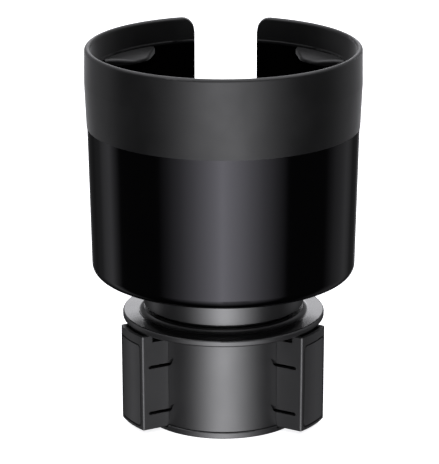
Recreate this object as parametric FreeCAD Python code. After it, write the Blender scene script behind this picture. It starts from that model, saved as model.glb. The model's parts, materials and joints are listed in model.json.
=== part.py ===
"""Cup holder expander: a wide cup on a twist base with three spreading arms.

Millimetres, Z up. The origin is the centre of the face that the base stands on, and the front
of the object is -Y. Turning the cup turns a scroll plate in the base, whose three spiral slots
push the arms out or pull them in.
"""
import FreeCAD, Part
import math
import os

V = FreeCAD.Vector
Z_AXIS = V(0, 0, 1)

# Clearances
slide_gap = 0.3          # between an arm and what it slides past
turn_gap = 0.3           # between the turning cup and the fixed base
screw_fit = 0.02         # round a screw or pin in its hole
seat_gap = 0.2           # round a piece that drops into a recess

# Base housing
housing_wall = 2.0
disc_thickness = 2.7
disc_edge_round = 0.7
disc_shelf = 6.2         # flat of the disc outside the cove
collar_height = 1.45     # raised collar under the neck, with a cove down to the disc
cove_width = 2.2
roof_thickness = 2.0
guide_wall = 1.3         # walls of the three columns between the arms
column_web = 1.4         # top of each column
column_boss_wall = 1.8
tongue_depth = 1.2       # guide tongues that run in the arms' slits
tongue_length = 8.0
notch_width = 2.6        # relief notches in the window edges
notch_height = 3.4

# Bottom cover
cover_reveal = 0.6       # how far the cover stands out from the housing
cover_thickness = 1.4    # its floor, which the arms slide over
cover_rim_height = 2.5   # its rim between the arms
cover_seam = 0.3         # shadow line between that rim and the housing
cover_seam_depth = 1.2
cover_bevel = 0.35
cover_spigot_wall = 1.4
cover_spigot_height = 2.0
cover_boss_height = 2.6
cover_boss_radius = 4.2
cover_screw_inset = 9.6  # from the housing's inside to a screw

# Arms
arm_count = 3
arm_width = 18.4
arm_head_depth = 5.5     # from the inside of an arm's raised head to its outer face
arm_lean = 0.2           # how much nearer the axis the foot of the outer face is
arm_lean_stop = 1.8      # from the end of that lean to the top of the low part
arm_low_height = 36.8    # part of an arm that passes under the scroll plate
arm_travel_in = 7.5
arm_travel_out = 4.5
arm_floor_gap = 0.4
arm_head_gap = 0.8       # between the scroll plate and an arm's raised head, drawn in
arm_side_wall = 2.0
arm_front_wall = 1.5
arm_floor = 1.5
arm_head_wall = 1.0      # on the inside of the raised head
arm_cross_wall = 1.6
arm_tail_wall = 0.2      # behind the boss of the pin
arm_top_plate = 1.8
arm_corner_round = 0.9
arm_foot_round = 0.6
slit_height = 1.4
low_slit_height = 7.0    # from an arm's foot to the middle of its slit
high_slit_drop = 10.4    # from the top of the low part to the middle of the upper slit

# Pads
pad_side = 1.25          # from the pad's pocket to the arm's side
pad_foot = 1.2           # from the arm's foot to the pocket
pad_head = 0.6           # from the pocket to the top of the low part
pad_corner = 2.0
pad_thickness = 0.8
pad_backing = 1.5
pad_inset = 0.1
pad_gap = 0.7

# Scroll plate and its followers
plate_gap = 0.8
plate_thickness = 2.5
plate_roof_gap = 0.4
plate_rim_gap = 0.6
plate_rim = 3.3          # outside the spiral slots
plate_hub_web = 1.2      # between the slots and the heads of the plate's screws
pin_radius = 1.9
pin_chamfer = 0.38
pin_depth = 5.0          # how far a pin is pressed into its arm
pin_boss_radius = 3.8
scroll_turn_deg = 120.0  # turn of the cup from arms in to arms out
spiral_steps = 12

# Neck
neck_radius = 32.2
neck_height = 16.25
neck_wall = 2.2
neck_plate = 2.2
neck_lift = 2.1          # from the collar to the underside of the neck's shell
neck_foot_inset = 4.4    # from the shell to the foot ring that runs inside the collar
neck_foot_wall = 1.6
hub_radius = 12.1
hub_shoulder_lip = 1.0   # outside the washer
hub_shoulder_thickness = 1.6
rib_count = 8
rib_thickness = 1.4
spigot_radius = 9.8
spigot_height = 2.5
neck_boss_radius = 3.4
washer_thickness = 1.0
washer_width = 6.4
washer_sink = 0.4

# Cup
cup_height = 92.35       # from its underside to the top of the rubber rim
cup_top_radius = 54.0
cup_draft = 1.35         # how much less the radius is at the cup's foot
cup_wall = 2.45
cup_floor = 3.0
cup_foot_round = 4.2
cup_floor_round = 3.0
slot_width = 25.5
slot_sill = 16.5         # from the cup's floor to the bottom of the slot
slot_corner = 8.0
slot_mouth_round = 4.0
slot_deg = 90.0
mat_margin = 5.2         # from the mat to the inside of the wall
mat_thickness = 2.0
mat_edge_round = 0.6

# Rubber grip ring
ring_reach = 1.0         # outside the cup's wall, above the taper
ring_height = 31.65
ring_taper_height = 17.7
ring_foot_thickness = 0.25
ring_lip_thickness = 2.4
ring_outer_lean = 0.2    # of its outside, from the top of the taper to the lip
ring_inner_lean = 0.4
ring_bead_height = 1.2   # bead along the foot of the inside
ring_bead_depth = 0.2
ring_skirt_height = 10.5
ring_carrier_thickness = 0.85
ring_cap = 3.0           # rubber above the cup wall's top edge
ring_slot_margin = 0.2
ring_end_round = 6.0
tab_from_middle_deg = 51.0   # from the slot to the rear tabs, and from the front to the others
tab_root_span_deg = 34.0
tab_tip_span_deg = 11.0
tab_reach = 8.3          # from the cup's inside to a tab's tip
tab_thickness = 1.2      # of the tip
tab_droop = 1.8          # of the tip, in a soft curve from the foot of the band's inside
tab_bulge = 0.4          # of that curve above a straight line
tab_corner = 8.0
tab_edge_round = 1.2

# Screws: shank radius, length under the head, head radius, head height
cover_screw = (1.3, 11.0, 2.5, 1.6)
cover_screw_count = 3
plate_screw = (1.25, 10.0, 2.3, 1.5)
plate_screw_circle = 5.6
plate_screw_count = 3
cup_screw = (1.5, 10.0, 2.8, 1.5)
cup_screw_circle = 22.0
cup_screw_count = 4
cup_screw_first_deg = 45.0
screw_head_round = 0.75
screw_recess = 0.8       # depth of the cross recess in a head
screw_recess_width = 0.6
screw_recess_margin = 1.1    # from the ends of the recess to the head's edge

# Help for cutting and joining
run_past = 1.0           # how far a cutter or a joined piece runs past a face
bite = 0.1               # a smaller run past a face
tolerance = 0.01

# Heights that follow from the sizes above
housing_foot = cover_rim_height + cover_seam
arm_foot = cover_thickness + arm_floor_gap
arm_low_top = arm_foot + arm_low_height
slit_heights = (arm_foot + low_slit_height, arm_low_top - high_slit_drop)
plate_bottom = arm_low_top + plate_gap
plate_top = plate_bottom + plate_thickness
roof_bottom = plate_top + plate_roof_gap
roof_top = roof_bottom + roof_thickness
disc_bottom = roof_top - disc_thickness
arm_top = disc_bottom - slide_gap
neck_top = roof_top + neck_height
floor_top = neck_top + cup_floor
rim_top = neck_top + cup_height
ring_bottom = rim_top - ring_height
ledge_height = rim_top - ring_skirt_height
wall_top = rim_top - ring_cap

# Radii and places that follow
pin_track_half = pin_radius + slide_gap
pin_circle = plate_screw_circle + plate_screw[2] + seat_gap + plate_hub_web + pin_track_half + arm_travel_in
plate_radius = pin_circle + arm_travel_out + pin_track_half + plate_rim
housing_inner = plate_radius + plate_rim_gap
housing_radius = housing_inner + housing_wall
disc_radius = neck_radius + cove_width + disc_shelf
cover_radius = housing_radius + cover_reveal
cover_screw_circle = housing_inner - cover_screw_inset
channel_half = arm_width / 2 + slide_gap
arm_head_inner = plate_radius + arm_head_gap + arm_travel_in
arm_reach = arm_head_inner + arm_head_depth
slit_end = housing_radius + arm_travel_in
arm_tail = pin_circle - pin_boss_radius - arm_tail_wall
pad_width = arm_width - 2 * pad_side
pad_height = arm_low_height - pad_foot - pad_head
pocket_depth = pad_thickness + pad_inset
scroll_rate = math.degrees(arm_travel_in + arm_travel_out) / scroll_turn_deg
hub_hole_radius = hub_radius + turn_gap
washer_inner = hub_hole_radius + seat_gap
hub_shoulder_radius = washer_inner + washer_width + hub_shoulder_lip
cup_bottom_radius = cup_top_radius - cup_draft
cup_inner_top = cup_top_radius - cup_wall
mat_radius = cup_bottom_radius - cup_wall - mat_margin
ring_radius = cup_top_radius + ring_reach
tab_tip_radius = cup_inner_top - tab_reach
front_left_deg = 210.0
arm_step_deg = 360.0 / arm_count
arm_names = ["front_left", "front_right", "rear"]


def tube(outer, inner, bottom, top):
    """A ring about the Z axis."""
    body = Part.makeCylinder(outer, top - bottom, V(0, 0, bottom))
    return body.cut(Part.makeCylinder(inner, top - bottom, V(0, 0, bottom)))


def disc(radius, bottom, top, x=0.0, y=0.0):
    return Part.makeCylinder(radius, top - bottom, V(x, y, bottom))


def block(x0, x1, y0, y1, z0, z1):
    return Part.makeBox(x1 - x0, y1 - y0, z1 - z0, V(x0, y0, z0))


def turned(shape, degrees):
    copy = shape.copy()
    copy.rotate(V(0, 0, 0), Z_AXIS, degrees)
    return copy


def polygon(points):
    return Part.Face(Part.makePolygon(points + [points[0]]))


def revolved(profile):
    """Full turn about Z of an outline given as (radius, height) points."""
    return polygon([V(r, 0, z) for r, z in profile]).revolve(V(0, 0, 0), Z_AXIS, 360)


def on_circle(radius, degrees):
    return radius * math.cos(math.radians(degrees)), radius * math.sin(math.radians(degrees))


def fused(shapes):
    return shapes[0].fuse(shapes[1:]).removeSplitter()


def rounded_edges(shape, radius, wanted):
    """Fillet the edges whose middle point answers the test."""
    edges = [e for e in shape.Edges if wanted(e.valueAt((e.FirstParameter + e.LastParameter) / 2), e)]
    return shape.makeFillet(radius, edges)


def is_upright(edge):
    ends = edge.BoundBox
    return ends.ZLength > max(ends.XLength, ends.YLength, tolerance)


def is_level(edge):
    return edge.BoundBox.ZLength < tolerance


def rounded_plate(width, height, corner, x0, x1, z0):
    """A plate with four round corners, standing across X."""
    plate = block(x0, x1, -width / 2, width / 2, z0, z0 + height)
    along = [e for e in plate.Edges if abs(e.BoundBox.XLength - (x1 - x0)) < tolerance]
    return plate.makeFillet(corner, along)


def screw(size, x, y, head_face, points_up):
    """A pan-head screw whose head seats at head_face, with a cross recess in the head."""
    shank, length, head, head_height = size
    body = Part.makeCylinder(shank, length)
    cap = Part.makeCylinder(head, head_height, V(0, 0, -head_height))
    cap = rounded_edges(cap, screw_head_round, lambda m, e: is_level(e) and m.z < -head_height / 2)
    body = body.fuse(cap).removeSplitter()
    arm = head - screw_recess_margin
    half = screw_recess_width / 2
    for across in (block(-arm, arm, -half, half, -head_height, screw_recess - head_height),
                   block(-half, half, -arm, arm, -head_height, screw_recess - head_height)):
        body = body.cut(across)
    if not points_up:
        body.rotate(V(0, 0, 0), V(1, 0, 0), 180)
    body.translate(V(x, y, head_face))
    return body


def ring_of_screws(size, circle, count, first_deg, head_face, points_up):
    places = [on_circle(circle, first_deg + 360.0 / count * i) for i in range(count)]
    return Part.makeCompound([screw(size, x, y, head_face, points_up) for x, y in places])


def column_angles():
    """The three columns stand half-way between the arms."""
    return [front_left_deg + arm_step_deg * (i + 0.5) for i in range(arm_count)]


def arm_angles():
    return [front_left_deg + arm_step_deg * i for i in range(arm_count)]


def outside_channels(shape, half_width, z0, z1):
    """Take the three arm channels out of a shape."""
    far = disc_radius
    channel = block(0, far, -half_width, half_width, z0, z1)
    for angle in arm_angles():
        shape = shape.cut(turned(channel, angle))
    return shape


def base_columns():
    """Hollow columns that guide the arms' sides, each with a screw boss down its middle."""
    top = arm_low_top
    solid = outside_channels(disc(housing_inner + housing_wall / 2, housing_foot, top), channel_half,
                             housing_foot, top)
    hollow_top = top - column_web
    hollow = outside_channels(disc(housing_inner, housing_foot, hollow_top), channel_half + guide_wall,
                              housing_foot, hollow_top)
    columns = solid.cut(hollow)
    boss_foot = cover_thickness + cover_boss_height
    shank, length = cover_screw[0], cover_screw[1]
    for angle in column_angles():
        x, y = on_circle(cover_screw_circle, angle)
        columns = columns.fuse(disc(shank + column_boss_wall, boss_foot, top, x, y))
        columns = columns.cut(disc(shank + screw_fit, boss_foot, boss_foot + length, x, y))
    return columns


def guide_tongues():
    """Thin tongues on both sides of each channel that run in the arms' slits."""
    outer = math.sqrt(housing_inner ** 2 - channel_half ** 2)
    thickness = slit_height - 2 * slide_gap
    tongues = []
    for z in slit_heights:
        left = block(outer - tongue_length, outer, channel_half - tongue_depth, channel_half + guide_wall,
                     z - thickness / 2, z + thickness / 2)
        for piece in (left, left.mirror(V(0, 0, 0), V(0, 1, 0))):
            tongues.extend(turned(piece, angle) for angle in arm_angles())
    return tongues


def window_notches():
    """Claw-shaped reliefs in the window edges, where the slits meet the housing wall."""
    notches = []
    edge = channel_half - bite
    inner = housing_inner * math.cos(math.asin(channel_half / housing_inner))
    for z in slit_heights:
        claw = [V(inner, edge, z - slit_height / 2),
                V(inner, edge, z + slit_height),
                V(inner, edge + notch_width, z + notch_height),
                V(inner, edge + notch_width / 2, z + slit_height / 4)]
        cutter = polygon(claw).extrude(V(disc_radius, 0, 0))
        for piece in (cutter, cutter.mirror(V(0, 0, 0), V(0, 1, 0))):
            notches.extend(turned(piece, angle) for angle in arm_angles())
    return notches


def collar():
    """Low ring on the disc that the neck turns on, with a cove on its outer side."""
    root = V(neck_radius + cove_width, 0, roof_top)
    crest = V(neck_radius, 0, roof_top + collar_height)
    cove_radius = (cove_width ** 2 + collar_height ** 2) / (2 * collar_height)
    half_turn = math.asin(cove_width / cove_radius) / 2
    middle = V(root.x - cove_radius * math.sin(half_turn), 0,
               roof_top + cove_radius * (1 - math.cos(half_turn)))
    inner = neck_radius - neck_wall
    foot = V(inner, 0, roof_top - roof_thickness / 2)
    corners = [crest, V(inner, 0, crest.z), foot, V(root.x, 0, foot.z), root]
    edges = [Part.LineSegment(a, b).toShape() for a, b in zip(corners, corners[1:])]
    edges.append(Part.Arc(root, middle, crest).toShape())
    return Part.Face(Part.Wire(edges)).revolve(V(0, 0, 0), Z_AXIS, 360)


def base_housing():
    """Cylinder with its top disc and roof in one, open below, with a window for each arm."""
    wall = tube(housing_radius, housing_inner, housing_foot, roof_bottom + roof_thickness / 2)
    top = disc(disc_radius, disc_bottom, roof_top)
    top = rounded_edges(top, disc_edge_round, lambda m, e: is_level(e))
    top = top.cut(disc(housing_inner, disc_bottom, roof_bottom))
    body = fused([wall, top, collar()])
    body = outside_channels(body, channel_half, housing_foot, disc_bottom)
    body = body.fuse(base_columns()).removeSplitter()
    for notch in window_notches():
        body = body.cut(notch)
    body = fused([body] + guide_tongues())
    body = body.cut(disc(hub_hole_radius, roof_bottom, roof_top))
    seat_radius = hub_hole_radius + washer_width + 2 * seat_gap
    return body.cut(tube(seat_radius, hub_hole_radius, roof_top - washer_sink, roof_top))


def bottom_cover():
    """Plate that closes the base, with a proud rim, a seat and a spigot between the arms."""
    rim = disc(cover_radius, 0, cover_rim_height)
    rim = rounded_edges(rim, cover_bevel, lambda m, e: is_level(e))
    spigot_outer = housing_inner - seat_gap
    spigot_inner = spigot_outer - cover_spigot_wall
    rim = rim.fuse(disc(cover_radius - cover_seam_depth, 0, housing_foot))
    rim = rim.cut(disc(spigot_inner, cover_thickness, housing_foot))
    rim = outside_channels(rim, channel_half, cover_thickness, housing_foot)
    spigot_top = housing_foot + cover_spigot_height
    spigot = tube(spigot_outer, spigot_inner, cover_thickness, spigot_top)
    clear_of_ribs = channel_half + guide_wall + seat_gap
    spigot = outside_channels(spigot, clear_of_ribs, 0, spigot_top)
    plate = rim.fuse(spigot)
    head_room = cover_screw[2] + seat_gap
    boss_top = cover_thickness + cover_boss_height
    head_face = boss_top - cover_screw[3] - seat_gap
    for angle in column_angles():
        x, y = on_circle(cover_screw_circle, angle)
        plate = plate.fuse(disc(cover_boss_radius, 0, boss_top, x, y))
        plate = plate.cut(disc(head_room, 0, head_face, x, y))
        plate = plate.cut(disc(cover_screw[0] + screw_fit, 0, boss_top, x, y))
    return plate.removeSplitter()


def cover_screws():
    head_face = cover_thickness + cover_boss_height - cover_screw[3] - seat_gap
    first = column_angles()[0]
    return ring_of_screws(cover_screw, cover_screw_circle, cover_screw_count, first, head_face, True)


def arm_envelope(inset, bottom, top):
    """The arms' outer face as a body of revolution, drawn in by inset."""
    lean_top = arm_low_top - arm_lean_stop
    foot_radius = arm_reach - arm_lean - inset
    return revolved([(0, bottom), (foot_radius, bottom), (arm_reach - inset, lean_top),
                     (arm_reach - inset, top), (0, top)])


def arm_shell():
    """One arm, pointing along +X: a box shell whose head stands up outside the scroll plate."""
    half = arm_width / 2
    body = block(arm_tail, arm_reach + run_past, -half, half, arm_foot, arm_top)
    body = body.common(arm_envelope(0, arm_foot, arm_top))
    outer_edge = math.sqrt((arm_reach - arm_lean) ** 2 - half ** 2) - bite
    body = rounded_edges(body, arm_corner_round, lambda m, e: is_upright(e) and m.x > outer_edge)
    body = rounded_edges(body, arm_foot_round,
                         lambda m, e: is_level(e) and m.z < arm_foot + tolerance and m.x > outer_edge)
    body = body.cut(block(0, arm_head_inner, -half, half, arm_low_top, arm_top))
    inside = half - arm_side_wall
    front_inner = arm_reach - arm_front_wall
    pocket_inner = arm_reach - pocket_depth - pad_backing
    step_low = arm_foot + pad_foot + pad_height
    hollow = revolved([(0, arm_foot + arm_floor), (pocket_inner - arm_lean, arm_foot + arm_floor),
                       (pocket_inner, step_low), (front_inner, step_low + pad_foot),
                       (front_inner, arm_top), (0, arm_top)])
    plate_end = pin_circle + pin_boss_radius + arm_floor
    rib_end = plate_end + arm_cross_wall
    body = body.cut(hollow.common(block(rib_end, arm_reach, -inside, inside, arm_foot, arm_top)))
    body = body.fuse(block(arm_head_inner, arm_head_inner + arm_head_wall, -inside, inside,
                           arm_foot + arm_floor / 2, arm_top))
    body = body.cut(block(arm_tail + arm_cross_wall, plate_end, -inside, inside, arm_foot,
                          arm_low_top - arm_top_plate))
    boss_bottom = arm_low_top - pin_depth - arm_floor
    body = body.fuse(disc(pin_boss_radius, boss_bottom, arm_low_top, pin_circle, 0))
    body = body.cut(disc(pin_radius + screw_fit, arm_low_top - pin_depth, arm_low_top, pin_circle, 0))
    for z in slit_heights:
        body = body.cut(arm_slits(z))
    return body.cut(pad_pocket()).removeSplitter()


def arm_slits(z):
    """A pair of slits with round ends, open at the arm's tail."""
    half = arm_width / 2
    end = slit_end - slit_height / 2
    inside = half - arm_side_wall
    left = block(arm_tail - run_past, end, inside, half + run_past, z - slit_height / 2, z + slit_height / 2)
    round_end = Part.makeCylinder(slit_height / 2, arm_side_wall + run_past, V(end, inside, z), V(0, 1, 0))
    left = left.fuse(round_end)
    return left.fuse(left.mirror(V(0, 0, 0), V(0, 1, 0)))


def pad_pocket():
    plate = rounded_plate(pad_width, pad_height, pad_corner, arm_tail, arm_reach + run_past,
                          arm_foot + pad_foot)
    return plate.cut(arm_envelope(pocket_depth, 0, arm_top + run_past))


def arm_pad():
    """Soft pad in the pocket of an arm's outer face."""
    plate = rounded_plate(pad_width - 2 * pad_gap, pad_height - 2 * pad_gap, pad_corner - pad_gap,
                          arm_tail, arm_reach + run_past, arm_foot + pad_foot + pad_gap)
    plate = plate.common(arm_envelope(pad_inset, 0, arm_top + run_past))
    return plate.cut(arm_envelope(pocket_depth, 0, arm_top + run_past))


def follower_pin():
    """Pin pressed into an arm, whose head runs in a slot of the scroll plate."""
    pin = disc(pin_radius, arm_low_top - pin_depth, plate_top - plate_roof_gap, pin_circle, 0)
    return pin.makeChamfer(pin_chamfer, [e for e in pin.Edges if is_level(e)])


def spiral_slot(first_deg):
    """A slot as wide as a pin and its clearance, along the spiral that the pin follows."""
    half = pin_track_half
    start = -math.radians(scroll_turn_deg) * arm_travel_in / (arm_travel_in + arm_travel_out)
    end = start + math.radians(scroll_turn_deg)
    steps = spiral_steps
    base = math.radians(first_deg)

    def point(turn, offset):
        radius = pin_circle + scroll_rate * turn
        tangent = math.atan2(radius, scroll_rate) + turn + base
        x = radius * math.cos(turn + base) + offset * math.sin(tangent)
        y = radius * math.sin(turn + base) - offset * math.cos(tangent)
        return V(x, y, plate_bottom)

    def side(offset):
        curve = Part.BSplineCurve()
        curve.interpolate([point(start + (end - start) * i / steps, offset) for i in range(steps + 1)])
        return curve.toShape()

    slot = []
    outer, inner = side(half), side(-half)
    for turn, out in ((start, -1), (end, 1)):
        middle = point(turn, 0)
        radius = pin_circle + scroll_rate * turn
        tangent = math.atan2(radius, scroll_rate) + turn + base
        tip = middle + V(math.cos(tangent), math.sin(tangent), 0) * (half * out)
        slot.append(Part.Arc(point(turn, half), tip, point(turn, -half)).toShape())
    wire = Part.Wire(Part.__sortEdges__([outer, inner] + slot))
    return Part.Face(wire).extrude(V(0, 0, plate_thickness))


def scroll_plate():
    """Disc with three spiral slots, screwed to the foot of the neck's hub."""
    plate = disc(plate_radius, plate_bottom, plate_top)
    for angle in arm_angles():
        plate = plate.cut(spiral_slot(angle))
    head_room = plate_screw[2] + seat_gap
    for i in range(plate_screw_count):
        x, y = on_circle(plate_screw_circle, front_left_deg + 360.0 / plate_screw_count * i)
        plate = plate.cut(disc(head_room, plate_bottom, plate_bottom + plate_screw[3], x, y))
        plate = plate.cut(disc(plate_screw[0] + screw_fit, plate_bottom, plate_top, x, y))
    return plate


def plate_screws():
    return ring_of_screws(plate_screw, plate_screw_circle, plate_screw_count, front_left_deg,
                          plate_bottom + plate_screw[3], True)


def swivel_neck():
    """Neck that carries the cup: ribbed shell and hub, closed above, with a narrower foot."""
    shell_bottom = roof_top + collar_height + neck_lift
    inner = neck_radius - neck_wall
    shell = tube(neck_radius, inner, shell_bottom, neck_top)
    foot_outer = neck_radius - neck_foot_inset
    foot = tube(foot_outer, foot_outer - neck_foot_wall, roof_top + turn_gap, neck_top - neck_plate / 2)
    lid = disc(neck_radius, neck_top - neck_plate, neck_top)
    hub = disc(hub_radius, plate_top, neck_top)
    shoulder_bottom = roof_top - washer_sink + washer_thickness
    shoulder = disc(hub_shoulder_radius, shoulder_bottom, shoulder_bottom + hub_shoulder_thickness)
    spigot = disc(spigot_radius, neck_top, neck_top + spigot_height)
    pieces = [shell, foot, lid, hub, shoulder, spigot]
    rib = block(hub_radius - run_past, inner + run_past, -rib_thickness / 2, rib_thickness / 2,
                shell_bottom + run_past, neck_top - neck_plate / 2)
    pieces.extend(turned(rib, 360.0 / rib_count * i) for i in range(rib_count))
    boss_places = [on_circle(cup_screw_circle, cup_screw_first_deg + 360.0 / cup_screw_count * i)
                   for i in range(cup_screw_count)]
    boss_bottom = neck_top - cup_screw[1] - neck_plate / 2
    pieces.extend(disc(neck_boss_radius, boss_bottom, neck_top, x, y) for x, y in boss_places)
    body = fused(pieces)
    for x, y in boss_places:
        body = body.cut(disc(cup_screw[0] + screw_fit, neck_top - cup_screw[1], neck_top, x, y))
    for i in range(plate_screw_count):
        x, y = on_circle(plate_screw_circle, front_left_deg + 360.0 / plate_screw_count * i)
        body = body.cut(disc(plate_screw[0] + screw_fit, plate_top, plate_top + plate_screw[1], x, y))
    return body


def thrust_washer():
    """Slippery washer between the hub's shoulder and the housing's roof."""
    bottom = roof_top - washer_sink
    return tube(washer_inner + washer_width, washer_inner, bottom, bottom + washer_thickness)


def handle_slot(width, corner_top, sill, top):
    """Cutter for the slot at the back: round corners at its foot, flared round corners at its top."""
    half = width / 2
    foot = min(slot_corner, half - bite)
    y = 0.0
    above = top + run_past
    root = math.sqrt(0.5)
    lines = [Part.LineSegment(V(-half + foot, y, sill), V(half - foot, y, sill)),
             Part.Arc(V(half - foot, y, sill), V(half - foot * (1 - root), y, sill + foot * (1 - root)),
                      V(half, y, sill + foot)),
             Part.LineSegment(V(half, y, sill + foot), V(half, y, top - corner_top)),
             Part.Arc(V(half, y, top - corner_top),
                      V(half + corner_top * (1 - root), y, top - corner_top * (1 - root)),
                      V(half + corner_top, y, top)),
             Part.LineSegment(V(half + corner_top, y, top), V(half + corner_top, y, above)),
             Part.LineSegment(V(half + corner_top, y, above), V(-half - corner_top, y, above)),
             Part.LineSegment(V(-half - corner_top, y, above), V(-half - corner_top, y, top)),
             Part.Arc(V(-half - corner_top, y, top),
                      V(-half - corner_top * (1 - root), y, top - corner_top * (1 - root)),
                      V(-half, y, top - corner_top)),
             Part.LineSegment(V(-half, y, top - corner_top), V(-half, y, sill + foot)),
             Part.Arc(V(-half, y, sill + foot), V(-half + foot * (1 - root), y, sill + foot * (1 - root)),
                      V(-half + foot, y, sill))]
    face = Part.Face(Part.Wire([line.toShape() for line in lines]))
    return face.extrude(V(0, ring_radius + run_past, 0))


def cup_body():
    """Glossy cup with a drafted wall, a slot for a handle and a thin carrier under the rubber rim."""
    carrier_inner = cup_top_radius - ring_carrier_thickness
    inner_bottom = cup_bottom_radius - cup_wall
    outer = revolved([(0, neck_top), (cup_bottom_radius, neck_top), (cup_top_radius, ring_bottom),
                      (cup_top_radius, wall_top), (0, wall_top)])
    outer = rounded_edges(outer, cup_foot_round, lambda m, e: is_level(e) and m.z < neck_top + tolerance)
    hollow = revolved([(0, floor_top), (inner_bottom, floor_top), (cup_inner_top, ring_bottom),
                       (cup_inner_top, ledge_height), (carrier_inner, ledge_height),
                       (carrier_inner, wall_top), (0, wall_top)])
    hollow = rounded_edges(hollow, cup_floor_round,
                           lambda m, e: is_level(e) and m.z < floor_top + tolerance)
    body = outer.cut(hollow)
    body = body.cut(disc(spigot_radius + seat_gap, neck_top, floor_top))
    slot = handle_slot(slot_width, slot_mouth_round, floor_top + slot_sill, wall_top)
    body = body.cut(slot)
    for angle in tab_angles():
        body = body.cut(turned(grip_tab(margin=screw_fit), angle))
    for i in range(cup_screw_count):
        x, y = on_circle(cup_screw_circle, cup_screw_first_deg + 360.0 / cup_screw_count * i)
        body = body.cut(disc(cup_screw[0] + screw_fit, neck_top, floor_top, x, y))
        body = body.cut(disc(cup_screw[2] + seat_gap, floor_top - cup_screw[3], floor_top, x, y))
    return body


def cup_screws():
    return ring_of_screws(cup_screw, cup_screw_circle, cup_screw_count, cup_screw_first_deg,
                          floor_top - cup_screw[3], False)


def floor_mat():
    """Soft mat that hides the screws in the cup's floor."""
    mat = disc(mat_radius, floor_top, floor_top + mat_thickness)
    return rounded_edges(mat, mat_edge_round, lambda m, e: is_level(e) and m.z > floor_top + tolerance)


def grip_tab(margin=0.0):
    """Springy tab that reaches in from the band, pointing along +X; margin makes it a cutter."""
    root_half = math.radians(tab_root_span_deg / 2)
    tip_half = math.radians(tab_tip_span_deg / 2)
    top = ledge_height + margin
    bottom = ledge_height - tab_droop - tab_thickness - margin
    far = cup_top_radius + ring_foot_thickness / 2
    tip_top = V(tab_tip_radius, 0, top - tab_droop)
    crown = V((tab_tip_radius + cup_inner_top) / 2, 0, top + tab_bulge - tab_droop / 2)
    corners = [tip_top, V(tab_tip_radius, 0, bottom), V(far, 0, bottom), V(far, 0, top),
               V(cup_inner_top, 0, top)]
    edges = [Part.LineSegment(a, b).toShape() for a, b in zip(corners, corners[1:])]
    edges.append(Part.Arc(corners[-1], crown, tip_top).toShape())
    tab = Part.Face(Part.Wire(edges)).revolve(V(0, 0, 0), Z_AXIS, 2 * math.degrees(root_half))
    tab.rotate(V(0, 0, 0), Z_AXIS, -math.degrees(root_half))
    low = bottom - run_past
    root = V(cup_inner_top * math.cos(root_half), cup_inner_top * math.sin(root_half) + margin, low)
    tip = V(tab_tip_radius * math.cos(tip_half), tab_tip_radius * math.sin(tip_half) + margin, low)
    beyond = tip + (tip - root)
    outside = polygon([root, beyond, V(beyond.x, ring_radius, root.z), V(root.x, ring_radius, root.z)])
    wedge = outside.extrude(V(0, 0, top + run_past - low))
    tab = tab.cut(wedge).cut(wedge.mirror(V(0, 0, 0), V(0, 1, 0)))
    if margin:
        return tab
    near_tip = (tab_tip_radius + cup_inner_top) / 2
    tab = rounded_edges(tab, tab_corner,
                        lambda m, e: is_upright(e) and math.hypot(m.x, m.y) < near_tip)
    return rounded_edges(tab, tab_edge_round,
                         lambda m, e: not is_upright(e) and m.z > bottom + tab_thickness / 2
                         and math.hypot(m.x, m.y) < cup_inner_top - tab_edge_round / 2)


def tab_angles():
    """Rear and front pairs of tabs, the rear ones beside the slot."""
    return [side * tab_from_middle_deg + middle
            for middle in (slot_deg, slot_deg + 180) for side in (-1, 1)]


def grip_ring():
    """Rubber band over the cup's rim, open at the slot, with four grip tabs inside."""
    carrier_inner = cup_top_radius - ring_carrier_thickness
    lip = ring_lip_thickness / 2
    lip_centre = rim_top - lip
    taper_top = ring_bottom + ring_taper_height
    lip_radius = ring_radius - ring_outer_lean
    inner_top = lip_radius - ring_lip_thickness
    inner_foot = inner_top - ring_inner_lean
    foot_outer = cup_top_radius + ring_foot_thickness
    outline = [(foot_outer, ring_bottom), (ring_radius, taper_top), (lip_radius, lip_centre)]
    inside = [(inner_foot, ledge_height), (carrier_inner, ledge_height), (carrier_inner, wall_top),
              (cup_top_radius, wall_top), (cup_top_radius, ring_bottom)]
    lip_inner = V(inner_top, 0, lip_centre)
    bead_top = V(inner_foot, 0, ledge_height + ring_bead_height)
    bead_middle = V(inner_foot - ring_bead_depth, 0, ledge_height + ring_bead_height / 2)
    spots = [V(r, 0, z) for r, z in outline]
    back = [V(r, 0, z) for r, z in inside]
    edges = [Part.LineSegment(a, b).toShape() for a, b in zip(spots, spots[1:])]
    edges.append(Part.Arc(spots[-1], V(lip_radius - lip, 0, rim_top), lip_inner).toShape())
    edges.append(Part.LineSegment(lip_inner, bead_top).toShape())
    edges.append(Part.Arc(bead_top, bead_middle, back[0]).toShape())
    edges.extend(Part.LineSegment(a, b).toShape() for a, b in zip(back, back[1:]))
    edges.append(Part.LineSegment(back[-1], spots[0]).toShape())
    band = Part.Face(Part.Wire(edges)).revolve(V(0, 0, 0), Z_AXIS, 360)
    tabs = [turned(grip_tab(), angle) for angle in tab_angles()]
    band = fused([band] + tabs)
    slot = handle_slot(slot_width + 2 * ring_slot_margin, ring_end_round, floor_top + slot_sill, rim_top)
    return band.cut(slot)


def arm_nodes():
    shell, pad, pin = arm_shell(), arm_pad(), follower_pin()
    nodes = {}
    for name, angle in zip(arm_names, arm_angles()):
        nodes["arm_" + name] = turned(shell, angle)
        nodes["pad_" + name] = turned(pad, angle)
        nodes["follower_pin_" + name] = turned(pin, angle)
    return nodes


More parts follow.
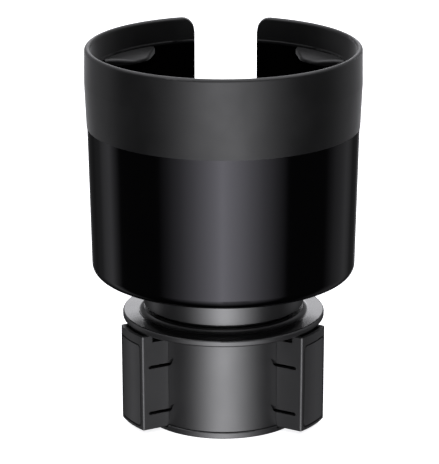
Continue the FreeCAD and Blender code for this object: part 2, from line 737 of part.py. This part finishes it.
def main():
    nodes = {
        "base_housing": base_housing(),
        "bottom_cover": bottom_cover(),
        "cover_screws": cover_screws(),
        "scroll_plate": scroll_plate(),
        "plate_screws": plate_screws(),
        "thrust_washer": thrust_washer(),
        "swivel_neck": swivel_neck(),
        "cup_screws": cup_screws(),
        "cup_body": cup_body(),
        "floor_mat": floor_mat(),
        "grip_ring": grip_ring(),
    }
    nodes.update(arm_nodes())
    os.makedirs("parts", exist_ok=True)
    for name, shape in nodes.items():
        print(name, "solids", len(shape.Solids), "valid", shape.isValid(), "volume", round(shape.Volume, 1))
        shape.exportStep("parts/" + name + ".step")


main()
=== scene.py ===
"""Looks of the cup holder expander: finishes, studio light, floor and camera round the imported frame."""
import json
import math
from collections import namedtuple

import bpy
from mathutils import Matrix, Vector

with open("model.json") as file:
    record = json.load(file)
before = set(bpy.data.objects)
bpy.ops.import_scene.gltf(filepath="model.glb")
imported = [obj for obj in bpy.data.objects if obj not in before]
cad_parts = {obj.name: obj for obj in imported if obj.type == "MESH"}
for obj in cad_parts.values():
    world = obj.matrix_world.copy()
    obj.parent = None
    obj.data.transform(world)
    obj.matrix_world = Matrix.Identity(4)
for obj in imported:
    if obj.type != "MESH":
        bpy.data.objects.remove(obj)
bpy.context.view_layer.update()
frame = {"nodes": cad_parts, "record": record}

MM = 0.001
SCENE = bpy.context.scene

# Camera, fitted to the outlines in the photograph; its aim is shifted by a few of the picture's pixels
IMAGE_HEIGHT = 464
FOCAL_PIXELS = 2782
SENSOR = 36.0
CAMERA_DISTANCE = 1115 * MM
CAMERA_PITCH_DEG = 17.19
CAMERA_AZIMUTH_DEG = 1.0
CAMERA_REACH = 20
AIM_HEIGHT = 77.9 * MM
AIM_RIGHT_PIXELS = 3.95
AIM_UP_PIXELS = 3.8

# Floor, just under the part so that no two faces lie in one plane; only the camera sees it
FLOOR_SIZE = 6.0
FLOOR_GAP = 0.05 * MM
FLOOR_COLOR = (0.86, 0.86, 0.87)
FLOOR_GLOW = 1.0
FLOOR_ROUGHNESS = 0.9
FLOOR_SPECULAR = 0.1
BACKDROP_COLOR = (0.93, 0.93, 0.94)

# The studio's soft lights, by their turn from the camera's side, left to right: (degrees, strength)
STUDIO_COLOR = (0.79, 0.79, 0.82)
FRONT_RING = [(-60, 0.02), (-56, 0.03), (-47, 0.36), (-36, 1.05), (-25, 2.25), (-15, 3.75), (-6, 5.3),
              (0, 6.7), (6, 5.8), (15, 4.5), (25, 2.95), (36, 1.6), (47, 0.7), (58, 0.04), (60, 0.02)]
SIDE_RING = [(-168, 0.2), (-158, 0.03), (-144, 0.02), (-130, 0.1), (-112, 0.62), (-98, 0),
             (98, 0), (112, 0.22), (130, 0.3), (144, 0.04), (158, 0.03), (168, 0.3)]
BACK_RING = [(-174, 2.35), (-164, 0.3), (-65, 0.3), (-50, 0), (50, 0), (65, 0.3), (164, 0.3), (174, 2.35)]

# The same lights from straight down to straight up: (degrees above the horizon, share of the strength)
FRONT_RISE = [(-90, 0), (-73, 0.04), (-59, 0.13), (-45, 0.29), (-33, 0.58), (-22, 1.0), (-5, 1.0),
              (5, 0.25), (16, 0.06), (28, 0.1), (35, 0.24), (42, 0)]
SIDE_RISE = [(-60, 0), (-30, 1.0), (10, 1.0), (24, 0)]
BACK_RISE = [(-2, 0), (7, 1.0), (21, 1.0), (30, 0.25), (60, 0)]

# The soft light overhead, the same all round: (degrees above the horizon, strength)
TOP_RISE = [(32, 0), (52, 2.5), (90, 2.5)]

# Heights between which the base is polished, which hold its disc's top, and how smooth it is there
POLISHED = (44.2 * MM, 44.4 * MM)
POLISHED_ROUGHNESS = 0.18

# What all finishes share: the fine grain's detail, and the broad pattern that moves roughness and colour
GRAIN_DETAIL = 3
BROAD_SIZE = 14 * MM
BROAD_DETAIL = 4
BROAD_RANGE = (0.3, 0.7)
COLOR_SPREAD = 0.1
SHEEN_ROUGHNESS = 0.3

# A finish: its colour; roughness and how far that wanders; size and depth of its grain in metres;
# specular level, refraction index and tint; sheen; metallic; and heights between which it is polished
Finish = namedtuple("Finish", "color roughness spread grain depth specular index tint sheen metallic polished",
                    defaults=(1.5, (1, 1, 1), 0, 0, None))

FINISHES = {
    "base_plastic": Finish((0.012, 0.012, 0.0124), 0.38, 0.03, 0.35 * MM, 0.004 * MM, 1.0,
                           index=1.56, polished=POLISHED),
    "arm_plastic": Finish((0.012, 0.012, 0.0124), 0.44, 0.03, 0.35 * MM, 0.006 * MM, 1.0),
    "pad_rubber": Finish((0.02, 0.02, 0.0206), 0.36, 0.04, 0.3 * MM, 0.012 * MM, 1.0, index=1.53),
    "neck_plastic": Finish((0.014, 0.014, 0.0144), 0.33, 0.02, 0.35 * MM, 0.003 * MM, 1.0, index=1.57),
    "cup_gloss": Finish((0.0008, 0.0008, 0.0009), 0.1, 0.02, 0.8 * MM, 0.002 * MM, 0.31, tint=(0.94, 0.92, 1)),
    "ring_rubber": Finish((0.0015, 0.0015, 0.0016), 0.42, 0.04, 0.3 * MM, 0.012 * MM, 0.52, sheen=0.34),
    "mat_rubber": Finish((0.015, 0.015, 0.0155), 0.6, 0.04, 0.3 * MM, 0.015 * MM, 0.4),
    "scroll_plastic": Finish((0.06, 0.06, 0.062), 0.4, 0.03, 0.35 * MM, 0.005 * MM, 0.5),
    "washer_plastic": Finish((0.75, 0.74, 0.7), 0.35, 0.03, 0.3 * MM, 0.004 * MM, 0.5),
    "steel": Finish((0.55, 0.55, 0.56), 0.32, 0.06, 0.25 * MM, 0.004 * MM, 0.5, metallic=1),
}


def node_of(tree, kind, **values):
    made = tree.nodes.new(kind)
    for key, value in values.items():
        setattr(made, key, value)
    return made


def maths(tree, operation, a, b=None):
    """A Math node fed by sockets or numbers; returns its output."""
    made = node_of(tree, "ShaderNodeMath", operation=operation)
    for socket, value in zip(made.inputs, (a, b)):
        if value is None:
            continue
        if isinstance(value, (int, float)):
            socket.default_value = value
        else:
            tree.links.new(value, socket)
    return made.outputs[0]


def ramp(tree, factor, stops, span):
    """Strength along a colour ramp through (degrees, strength) stops; span is the turn from end to end."""
    made = node_of(tree, "ShaderNodeValToRGB")
    tree.links.new(factor, made.inputs[0])
    top = max(strength for _, strength in stops)
    elements = made.color_ramp.elements
    while len(elements) < len(stops):
        elements.new(0.5)
    for element, (degrees, strength) in zip(elements, stops):
        element.position = degrees / span + 0.5
        element.color = (strength / top,) * 3 + (1,)
    return maths(tree, "MULTIPLY", made.outputs[0], top)


def studio():
    """World light: a bright strip from the camera's side, weaker ones beside and behind, and a soft top."""
    world = bpy.data.worlds.new("studio")
    SCENE.world = world
    world.use_nodes = True
    tree = world.node_tree
    tree.nodes.clear()

    direction = node_of(tree, "ShaderNodeTexCoord").outputs["Generated"]
    split = node_of(tree, "ShaderNodeSeparateXYZ")
    tree.links.new(direction, split.inputs[0])
    x, y, z = split.outputs
    turn = maths(tree, "ARCTAN2", x, maths(tree, "MULTIPLY", y, -1))
    turn = maths(tree, "ADD", maths(tree, "DIVIDE", turn, 2 * math.pi), 0.5)
    rise = maths(tree, "ADD", maths(tree, "DIVIDE", maths(tree, "ARCSINE", z), math.pi), 0.5)

    strength = ramp(tree, rise, TOP_RISE, 180)
    for ring, heights in ((FRONT_RING, FRONT_RISE), (SIDE_RING, SIDE_RISE), (BACK_RING, BACK_RISE)):
        lamp = maths(tree, "MULTIPLY", ramp(tree, turn, ring, 360), ramp(tree, rise, heights, 180))
        strength = maths(tree, "ADD", strength, lamp)
    light = node_of(tree, "ShaderNodeBackground")
    light.inputs["Color"].default_value = (*STUDIO_COLOR, 1)
    tree.links.new(strength, light.inputs["Strength"])

    backdrop = node_of(tree, "ShaderNodeBackground")
    backdrop.inputs["Color"].default_value = (*BACKDROP_COLOR, 1)
    seen = node_of(tree, "ShaderNodeLightPath").outputs["Is Camera Ray"]
    mix = node_of(tree, "ShaderNodeMixShader")
    tree.links.new(seen, mix.inputs[0])
    tree.links.new(light.outputs[0], mix.inputs[1])
    tree.links.new(backdrop.outputs[0], mix.inputs[2])
    out = node_of(tree, "ShaderNodeOutputWorld")
    tree.links.new(mix.outputs[0], out.inputs[0])


def floor():
    """Plain pale floor, which neither shades the part nor shows in it."""
    mesh = bpy.data.meshes.new("floor")
    half = FLOOR_SIZE / 2
    corners = [(-half, -half, 0), (half, -half, 0), (half, half, 0), (-half, half, 0)]
    mesh.from_pydata(corners, [], [(0, 1, 2, 3)])
    paint = bpy.data.materials.new("floor_paint")
    paint.use_nodes = True
    shader = paint.node_tree.nodes["Principled BSDF"]
    shader.inputs["Base Color"].default_value = (*FLOOR_COLOR, 1)
    shader.inputs["Roughness"].default_value = FLOOR_ROUGHNESS
    shader.inputs["Specular IOR Level"].default_value = FLOOR_SPECULAR
    shader.inputs["Emission Color"].default_value = (*FLOOR_COLOR, 1)
    shader.inputs["Emission Strength"].default_value = FLOOR_GLOW
    mesh.materials.append(paint)

    plane = bpy.data.objects.new("floor", mesh)
    plane.location.z = -FLOOR_GAP
    plane.visible_glossy = False
    plane.visible_diffuse = False
    plane.visible_shadow = False
    SCENE.collection.objects.link(plane)


def camera():
    data = bpy.data.cameras.new("camera")
    data.sensor_width = SENSOR
    data.lens = FOCAL_PIXELS * SENSOR / IMAGE_HEIGHT
    data.shift_x = -AIM_RIGHT_PIXELS / IMAGE_HEIGHT
    data.shift_y = -AIM_UP_PIXELS / IMAGE_HEIGHT
    data.clip_end = CAMERA_REACH

    eye = bpy.data.objects.new("camera", data)
    SCENE.collection.objects.link(eye)
    pitch = math.radians(CAMERA_PITCH_DEG)
    azimuth = math.radians(CAMERA_AZIMUTH_DEG)
    across = math.cos(pitch)
    look = Vector((-math.sin(azimuth) * across, math.cos(azimuth) * across, -math.sin(pitch)))
    eye.location = Vector((0, 0, AIM_HEIGHT)) - look * CAMERA_DISTANCE
    eye.rotation_euler = look.to_track_quat("-Z", "Y").to_euler()
    SCENE.camera = eye


def noise(tree, place, size, detail):
    made = node_of(tree, "ShaderNodeTexNoise")
    made.inputs["Scale"].default_value = 1 / size
    made.inputs["Detail"].default_value = detail
    tree.links.new(place, made.inputs["Vector"])
    return made.outputs[0]


def lowered_where_polished(tree, place, level, finish):
    """Roughness level, lowered between the two heights where the finish is polished."""
    split = node_of(tree, "ShaderNodeSeparateXYZ")
    tree.links.new(place, split.inputs[0])
    height = split.outputs[2]
    low, high = finish.polished
    between = maths(tree, "MULTIPLY", maths(tree, "GREATER_THAN", height, low),
                    maths(tree, "LESS_THAN", height, high))
    drop = maths(tree, "MULTIPLY", between, finish.roughness - POLISHED_ROUGHNESS)
    return maths(tree, "SUBTRACT", level, drop)


def moulded(name, finish):
    """Material of a finish: fine grain as bump, and a roughness and colour that wander a little."""
    material = bpy.data.materials.new(name)
    material.use_nodes = True
    tree = material.node_tree
    shader = tree.nodes["Principled BSDF"]
    shader.inputs["Specular IOR Level"].default_value = finish.specular
    shader.inputs["IOR"].default_value = finish.index
    shader.inputs["Specular Tint"].default_value = (*finish.tint, 1)
    shader.inputs["Metallic"].default_value = finish.metallic
    if finish.sheen:
        shader.inputs["Sheen Weight"].default_value = finish.sheen
        shader.inputs["Sheen Roughness"].default_value = SHEEN_ROUGHNESS
    place = node_of(tree, "ShaderNodeTexCoord").outputs["Object"]

    bump = node_of(tree, "ShaderNodeBump")
    bump.inputs["Distance"].default_value = finish.depth
    tree.links.new(noise(tree, place, finish.grain, GRAIN_DETAIL), bump.inputs["Height"])
    tree.links.new(bump.outputs[0], shader.inputs["Normal"])

    broad = noise(tree, place, BROAD_SIZE, BROAD_DETAIL)
    spread = node_of(tree, "ShaderNodeMapRange")
    tree.links.new(broad, spread.inputs["Value"])
    spread.inputs["From Min"].default_value, spread.inputs["From Max"].default_value = BROAD_RANGE
    spread.inputs["To Min"].default_value = finish.roughness - finish.spread
    spread.inputs["To Max"].default_value = finish.roughness + finish.spread
    level = spread.outputs[0]
    if finish.polished:
        level = lowered_where_polished(tree, place, level, finish)
    tree.links.new(level, shader.inputs["Roughness"])

    shade = node_of(tree, "ShaderNodeMixRGB")
    for socket, share in zip(shade.inputs[1:], (1 - COLOR_SPREAD, 1 + COLOR_SPREAD)):
        socket.default_value = (*[part * share for part in finish.color], 1)
    tree.links.new(broad, shade.inputs[0])
    tree.links.new(shade.outputs[0], shader.inputs["Base Color"])
    return material


def dress():
    """Give each CAD node the finish that the record names for it."""
    made = {name: moulded(name, finish) for name, finish in FINISHES.items()}
    slots = {part["node"]: part["material_slot"] for part in frame["record"]["subparts"]}
    for name, piece in frame["nodes"].items():
        for place in piece.material_slots:
            place.material = made[slots[name]]


studio()
floor()
camera()
dress()
SCENE.view_settings.view_transform = "Standard"
